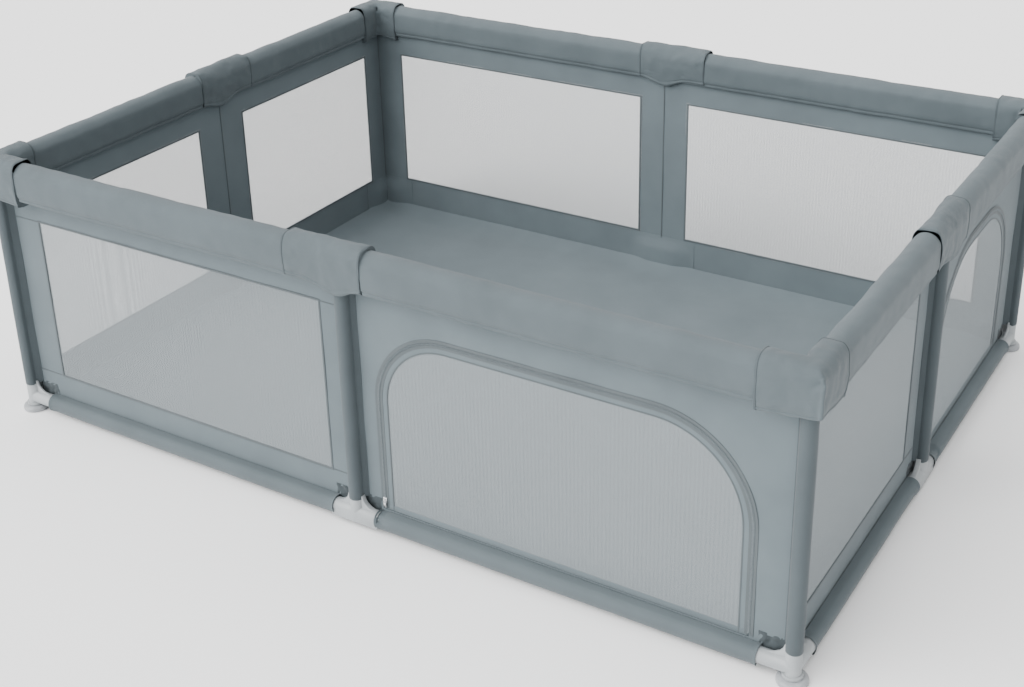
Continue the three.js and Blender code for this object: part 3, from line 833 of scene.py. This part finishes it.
# Darker than the wall's cloth: painted shade.
cap_cloth = woven("grey plain weave, hood", (0.060, 0.076, 0.084), (0.096, 0.120, 0.131), bump=0.4)
along_x, along_y = (1, TAPE_WIDER), (TAPE_WIDER, 1)
middle_start, middle_finish = MIDDLE_ENDS
slices = {
    "corner_cap_start": ("corner", bound_end(corner, (-CORNER_REACH - CAP_SPARE, -SLICE_HALF),
                                             (BOUND - CORNER_REACH, SLICE_HALF), along_x)),
    "corner_cap_finish": ("corner", bound_end(corner, (-SLICE_HALF, CORNER_REACH - BOUND),
                                              (SLICE_HALF, CORNER_REACH + CAP_SPARE), along_y)),
    "middle_cap_start": ("middle", bound_end(middle, (middle_start - CAP_SPARE, -SLICE_HALF),
                                             (middle_start + BOUND, SLICE_HALF), along_x)),
    "middle_cap_finish": ("middle", bound_end(middle, (middle_finish - BOUND, -SLICE_HALF),
                                              (middle_finish + CAP_SPARE, SLICE_HALF), along_x))}


def place_copy(model, name, x, side, material):
    """Puts a copy of a cap or a tape on one side of the pen."""
    piece = twin(model, name)
    piece.location = (x, -side["depth"], 0)
    settle(piece)
    turned(piece, side)
    return dress(piece, material)


for side in SIDES:
    for kind, model, x in (("corner", corner, side["half"]), ("middle", middle, 0)):
        place_copy(model, "%s_cap_%s" % (kind, side["name"]), x, side, cap_cloth)
    for name, (kind, model) in slices.items():
        x = side["half"] if kind == "corner" else 0
        place_copy(model, "%s_tape_%s" % (name, side["name"]), x, side, painted_shade_cloth)
for model in [corner, middle] + [model for _, model in slices.values()]:
    bpy.data.objects.remove(model)

# ---- Door flaps
# A flap of the same net with a cloth rim, hinged on a fold along its foot and closed by a zip round the other
# three edges. The zip's inner tape and teeth ride on the flap, the outer tape and teeth stay on the wall.
RIM, TAPE = 0.019, 0.0085
NET_INSET = 0.004  # the flap's edge to the net's, under the rim
TOOTH_BACK, TOOTH_IN = 0.0028, 0.0006  # from the zip's line back to the tape, and past the line
TOOTH_WIDE, TOOTH_HALF, TOOTH_PITCH, TOOTH_CROWN = 0.0013, 0.0011, 0.003, 0.0003
TEETH_START = 0.004  # above the flap's fold
ARC_STEPS = 24
tape_cloth = woven("zip tape", (0.062, 0.075, 0.081), (0.100, 0.118, 0.126), pitch=0.0011)
tooth_plastic, nodes, links = nodes_of("moulded zip teeth")
nodes["Principled BSDF"].inputs["Roughness"].default_value = 0.42
place = nodes.new("ShaderNodeTexCoord").outputs["Object"]
tint(nodes, links, noise(nodes, links, place, 260.0, 2.0), (0.075, 0.095, 0.105), (0.140, 0.170, 0.185))


def arch_ring(name, span, radii, outer, inner, front, back, low):
    """A flat band round the arch, from outer to inner, both measured outwards from the flap's edge."""
    piece = arch(name, span[0] - outer, span[1] + outer, low, FLAP_TOP + outer, [r + outer for r in radii],
                 front, back)
    cut_away(piece, arch("ring_tool", span[0] - inner, span[1] + inner, low - 0.02, FLAP_TOP + inner,
                         [r + inner for r in radii], front - 0.01, back + 0.01))
    modify(piece, "BEVEL", width=0.0003, segments=1, limit_method="ANGLE")
    return piece


def teeth(name, span, radii, inside, y):
    """One row of teeth along the zip, drawn flat and bent round the arch by a curve."""
    left, right = span[0] - ZIP_GAP / 2, span[1] + ZIP_GAP / 2
    top = FLAP_TOP + ZIP_GAP / 2
    path = [(left, FLAP_LOW + TEETH_START)]
    for edge, radius, start in ((left, radii[0] + ZIP_GAP / 2, math.pi),
                                (right, radii[1] + ZIP_GAP / 2, math.pi / 2)):
        centre = (edge + radius if edge == left else edge - radius, top - radius)
        for step in range(ARC_STEPS + 1):
            angle = start - step * math.pi / (2 * ARC_STEPS)
            path.append((centre[0] + radius * math.cos(angle), centre[1] + radius * math.sin(angle)))
    path.append((right, FLAP_LOW + TEETH_START))
    line = bpy.data.curves.new(name + "_path", "CURVE")
    spline = line.splines.new("POLY")
    spline.points.add(len(path) - 1)
    for point, (x, z) in zip(spline.points, path):
        point.co = (x, z, 0, 1)
    guide = bpy.data.objects.new(name + "_guide", line)
    bpy.context.collection.objects.link(guide)
    length = sum(math.dist(a, b) for a, b in zip(path, path[1:]))
    low, high = (-TOOTH_IN, TOOTH_BACK) if inside else (-TOOTH_BACK, TOOTH_IN)
    shift = 0.0 if inside else TOOTH_PITCH / 2
    tooth = block(name, (shift, low, -TOOTH_HALF), (shift + TOOTH_WIDE, high, TOOTH_HALF))
    pick(tooth, "FACE", lambda p: p.z > TOOTH_HALF - NEAR)
    bpy.ops.mesh.inset(thickness=TOOTH_CROWN, depth=TOOTH_CROWN)
    done()
    modify(tooth, "ARRAY", fit_type="FIT_LENGTH", fit_length=length - 0.004, use_relative_offset=False,
           use_constant_offset=True, constant_offset_displace=(TOOTH_PITCH, 0, 0))
    modify(tooth, "CURVE", object=guide, deform_axis="POS_X")
    bpy.data.objects.remove(guide)
    tooth.rotation_euler.x = math.pi / 2
    tooth.location.y = y
    return settle(tooth)


for side in SIDES:
    if not side["radii"]:
        continue
    name, radii = side["name"], side["radii"]
    plane = -side["depth"] + WALL_IN
    span = door_span(name)
    door = name + "_door"
    flap = arch("flap_net_" + name, span[0] + NET_INSET, span[1] - NET_INSET, FLAP_LOW + NET_INSET,
                FLAP_TOP - NET_INSET, [r - NET_INSET for r in radii], plane - 0.0002, plane + 0.0002)
    pick(flap, "FACE", lambda p: p.y < plane)
    bpy.ops.mesh.select_all(action="INVERT")
    bpy.ops.mesh.delete(type="FACE")
    done()
    turned(flap, side)
    dress(flap, net, door)
    rim = arch_ring("flap_rim_" + name, span, radii, -0.0022, -RIM,
                    plane - 0.0009, plane + 0.0009, FLAP_LOW + 0.0005)
    inner_seam = arch_ring("flap_seam_" + name, span, radii, -RIM + 0.0012, -RIM - 0.0018,
                           plane - 0.0016, plane + 0.0016, FLAP_LOW + 0.001)
    foot = block("flap_fold_" + name, (span[0] + 0.003, plane - 0.0012, FLAP_LOW),
                 (span[1] - 0.003, plane + 0.0012, FLAP_LOW + 0.012))
    modify(foot, "BEVEL", width=0.0005, segments=2)
    inner_tape = arch_ring("flap_tape_" + name, span, radii, -0.0010, -TAPE,
                           plane - 0.0015, plane - 0.0008, FLAP_LOW + 0.002)
    outer_tape = arch_ring("wall_tape_" + name, span, radii, ZIP_GAP + TAPE, ZIP_GAP + 0.0010,
                           plane - 0.0018, plane - 0.0009, FLAP_LOW + 0.002)
    inner_teeth = teeth("flap_teeth_" + name, span, radii, True, plane - 0.0014)
    outer_teeth = teeth("wall_teeth_" + name, span, radii, False, plane - 0.0014)
    for piece, material, slot, body in (
            (rim, cloth, "cloth", door), (inner_seam, binding, "cloth", door), (foot, cloth, "cloth", door),
            (inner_tape, tape_cloth, "cloth", door), (outer_tape, tape_cloth, "cloth", "frame"),
            (inner_teeth, tooth_plastic, "cloth", door), (outer_teeth, tooth_plastic, "cloth", "frame")):
        turned(piece, side)
        dress(piece, material, body)
    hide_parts("door_flap_" + name)

# ---- Zip sliders and pulls
# Nickel-plated castings. The slider is a wedge-shaped body with an arch, and the pull is a flat tab with an
# eye, hooked round the arch.
metal, nodes, links = nodes_of("bright nickel")
metal_shader = nodes["Principled BSDF"]
metal_shader.inputs["Metallic"].default_value = 1.0
metal_shader.inputs["Base Color"].default_value = (0.72, 0.73, 0.74, 1)
place = nodes.new("ShaderNodeTexCoord").outputs["Object"]
wear = node(nodes, "ShaderNodeMapRange")
wear.inputs["To Min"].default_value = 0.16
wear.inputs["To Max"].default_value = 0.38
links.new(noise(nodes, links, place, 420.0, 4.0), wear.inputs["Value"])
links.new(wear.outputs[0], metal_shader.inputs["Roughness"])


def rounded_copy(source, name, width):
    """A copy of a CAD solid with its edges rounded, which stands for it."""
    piece = twin(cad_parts[source], name)
    piece.parent = None
    for key in list(piece.keys()):
        del piece[key]
    pick(piece, "VERT")
    bpy.ops.mesh.remove_doubles(threshold=0.00002)
    bpy.ops.mesh.dissolve_limited(angle_limit=math.radians(1))
    done()
    modify(piece, "BEVEL", width=width, segments=2, limit_method="ANGLE", angle_limit=math.radians(35))
    return piece


for name in ("front", "right"):
    for part, width in (("slider", 0.0004), ("pull", 0.0003)):
        source = "zip_%s_%s" % (part, name)
        piece = rounded_copy(source, "%s_%s" % (part, name), width)
        dress(piece, metal, "%s_zip_%s" % (name, part))
        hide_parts(source)

# ---- Floor sheet
# One sheet of the same cloth, sewn to the walls' lower edge all round. It rises over the tubes at its edge
# and lies on the ground inside.
FLOOR_EDGE, FLOOR_LIE = 0.022, 0.0035  # height at the walls, and on the ground
FLOOR_RISE = 0.07  # width of the strip that rises
floor_x, floor_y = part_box("floor_sheet")[1].x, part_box("floor_sheet")[1].y
floor = cut_cloth("floor_cloth", (2 * floor_x, 2 * floor_y), (0, 0, FLOOR_LIE), 0.018, upright=False)
for point in floor.data.vertices:
    inset = min(floor_x - abs(point.co.x), floor_y - abs(point.co.y))
    rise = max(0.0, 1 - inset / FLOOR_RISE)
    point.co.z += (FLOOR_EDGE - FLOOR_LIE) * rise * rise
ripple(floor, 0.22, 0.0030)
modify(floor, "SOLIDIFY", thickness=0.0008, offset=1)
dress(floor, cloth)
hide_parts("floor_sheet")

# ---- Plastic feet and connectors
# Light grey moulded plastic: elbows under the corners, tees under the middle posts, and the connectors that
# hide in the rails. A fine moulded grain, a little gloss, and softened edges.
plastic, nodes, links = nodes_of("light grey moulded plastic")
nodes["Principled BSDF"].inputs["Roughness"].default_value = 0.40
place = nodes.new("ShaderNodeTexCoord").outputs["Object"]
tint(nodes, links, noise(nodes, links, place, 30.0, 3.0), (0.25, 0.27, 0.28), (0.35, 0.37, 0.38))
emboss(nodes, links, noise(nodes, links, place, 1500.0, 2.0), 0.12, 0.0003)
for source in sorted(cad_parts):
    if source.startswith(("corner_foot", "middle_foot")):
        piece = rounded_copy(source, source.replace("foot", "foot_moulding"), 0.0008)
        dress(piece, plastic)
        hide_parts(source)
    elif source.startswith(("top_corner", "top_tee")):
        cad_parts[source].data.materials.clear()
        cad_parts[source].data.materials.append(plastic)

# ---- Tubes and posts
# Thin steel tube with a satin grey powder coat, almost all of it inside the cloth.
paint, nodes, links = nodes_of("satin grey powder coat")
nodes["Principled BSDF"].inputs["Roughness"].default_value = 0.45
nodes["Principled BSDF"].inputs["Metallic"].default_value = 0.2
place = nodes.new("ShaderNodeTexCoord").outputs["Object"]
peel = noise(nodes, links, place, 700.0, 2.0)
tint(nodes, links, peel, (0.46, 0.48, 0.49), (0.56, 0.58, 0.59))
emboss(nodes, links, peel, 0.10, 0.0002)
for source in sorted(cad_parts):
    if "tube" in source or source.startswith("post_"):
        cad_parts[source].data.materials.clear()
        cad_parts[source].data.materials.append(paint)

# ---- Suction cups
# Soft milky vinyl discs, one under each corner foot: a domed bell with a thin lip, and a neck that plugs
# into the foot. Light soaks into them.
vinyl, nodes, links = nodes_of("milky vinyl")
vinyl_shader = nodes["Principled BSDF"]
vinyl_shader.inputs["Roughness"].default_value = 0.30
vinyl_shader.inputs["Subsurface Weight"].default_value = 0.35
vinyl_shader.inputs["Subsurface Radius"].default_value = (0.01, 0.01, 0.01)
place = nodes.new("ShaderNodeTexCoord").outputs["Object"]
tint(nodes, links, noise(nodes, links, place, 60.0, 2.0), (0.26, 0.275, 0.29), (0.36, 0.375, 0.39))
# Radius and height of each ring, from the lip up to the neck.
CUP_RINGS = [(0.0300, 0.0002), (0.0303, 0.0045), (0.0296, 0.0078),
             (0.0278, 0.0100), (0.0220, 0.0116), (0.0150, 0.0122)]
for side in SIDES:
    low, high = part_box("suction_cup_" + side["corner"])
    centre = (low + high) / 2
    bpy.ops.object.select_all(action="DESELECT")
    bpy.ops.mesh.primitive_circle_add(vertices=64, radius=CUP_RINGS[0][0], fill_type="NOTHING",
                                      location=(centre.x, centre.y, CUP_RINGS[0][1]))
    cup = bpy.context.object
    cup.name = "vinyl_cup_" + side["corner"]
    settle(cup)
    pick(cup, "EDGE")
    for (r0, z0), (r1, z1) in zip(CUP_RINGS, CUP_RINGS[1:]):
        bpy.ops.mesh.extrude_region_move(TRANSFORM_OT_translate={"value": (0, 0, z1 - z0)})
        bpy.ops.transform.resize(value=(r1 / r0, r1 / r0, 1), center_override=(centre.x, centre.y, z1))
    bpy.ops.mesh.fill()
    done()
    modify(cup, "SOLIDIFY", thickness=0.0018, offset=-1)
    dress(cup, vinyl)
    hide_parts("suction_cup_" + side["corner"])

# ---- Studio
# A pale floor, a bright white room, a wide soft light from the left front and a weaker one from above, and a
# camera at standing height that looks down across the near corner.
bpy.ops.object.select_all(action="DESELECT")
bpy.ops.mesh.primitive_plane_add(size=60, location=(0, 0, -0.0008))
ground = bpy.context.object
ground.name = "studio_floor"
white, nodes, links = nodes_of("white studio floor")
nodes["Principled BSDF"].inputs["Base Color"].default_value = (0.93, 0.93, 0.93, 1)
nodes["Principled BSDF"].inputs["Roughness"].default_value = 0.9
ground.data.materials.append(white)

world = bpy.context.scene.world or bpy.data.worlds.new("studio")
bpy.context.scene.world = world
world.use_nodes = True
world.node_tree.nodes["Background"].inputs["Color"].default_value = (1, 1, 1, 1)
world.node_tree.nodes["Background"].inputs["Strength"].default_value = 0.95


def soft_sun(name, source, strength, spread):
    """A wide even light from far away, from the direction of source."""
    bpy.ops.object.light_add(type="SUN", location=source)
    light = bpy.context.object
    light.name = name
    light.data.energy = strength
    light.data.angle = math.radians(spread)
    light.rotation_euler = (-Vector(source)).to_track_quat("-Z", "Y").to_euler()


soft_sun("key", (-2.4, -3.2, 2.3), 4.8, 60)
soft_sun("top", (-0.6, -0.6, 5.0), 2.6, 90)

CAMERA_AT = (1.6960, -2.7753, 1.8541)
YAW, PITCH, ROLL = -0.55516, 0.42132, -0.02110
LENS, SHIFT_X, SHIFT_Y = 52.790625, -0.009765625, -0.11083984375
looking = Vector((math.sin(YAW) * math.cos(PITCH), math.cos(YAW) * math.cos(PITCH), -math.sin(PITCH)))
bpy.ops.object.camera_add(location=CAMERA_AT)
camera = bpy.context.object
camera.rotation_mode = "QUATERNION"
camera.rotation_quaternion = Quaternion(looking, -ROLL) @ looking.to_track_quat("-Z", "Y")
camera.data.sensor_width = 36
camera.data.lens = LENS
camera.data.shift_x = SHIFT_X
camera.data.shift_y = SHIFT_Y
bpy.context.scene.camera = camera
